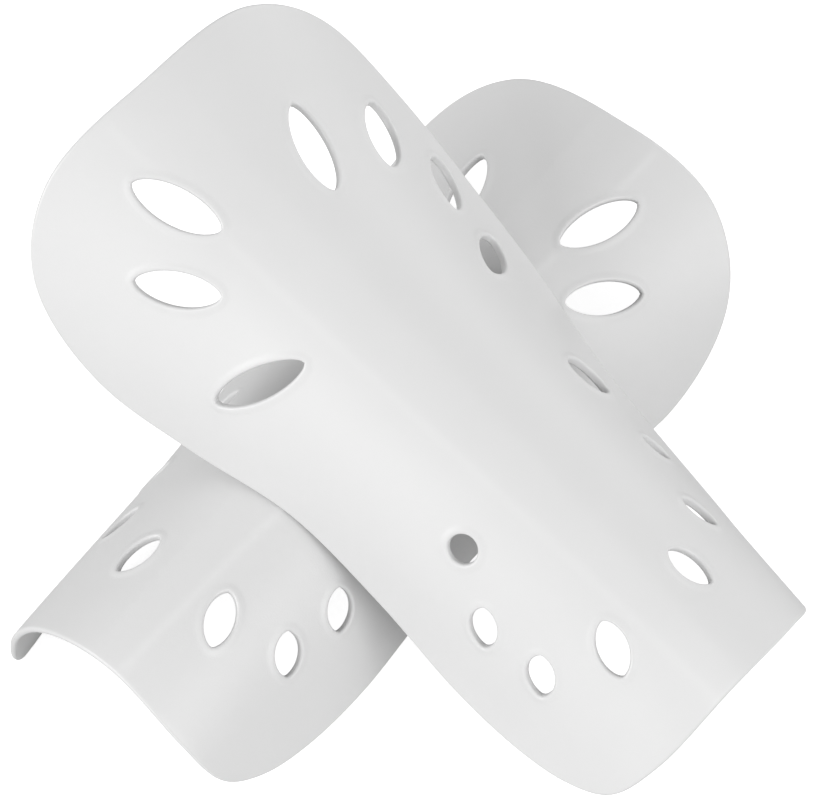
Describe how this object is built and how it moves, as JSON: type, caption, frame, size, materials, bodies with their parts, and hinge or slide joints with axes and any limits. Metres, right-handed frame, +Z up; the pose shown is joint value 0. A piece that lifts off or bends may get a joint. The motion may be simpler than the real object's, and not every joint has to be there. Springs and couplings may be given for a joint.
{
  "type": "limb guard pair",
  "caption": "Pair of one-piece moulded half-tube limb guard shells with leaf-shaped vents, flared at one end, a left and a right, lying crosswise.",
  "frame": {"origin": "on the floor, under the middle of the pair's bounding box", "axes": "+Z up; +Y along the lower guard from its narrow end to its wide end; +X towards the upper guard's narrow end"},
  "size_m": [0.1826, 0.196, 0.1161],
  "materials": {
    "shell": "satin moulded"
  },
  "bodies": {
    "guard_lower": {"guard_lower": "shell"},
    "guard_upper": {"guard_upper": "shell"}
  },
  "joints": [
    {"name": "guard_lift", "type": "slide", "parent": "guard_lower", "child": "guard_upper", "axis": [0, 0, 1], "range_m": [0, 0.12]}
  ]
}
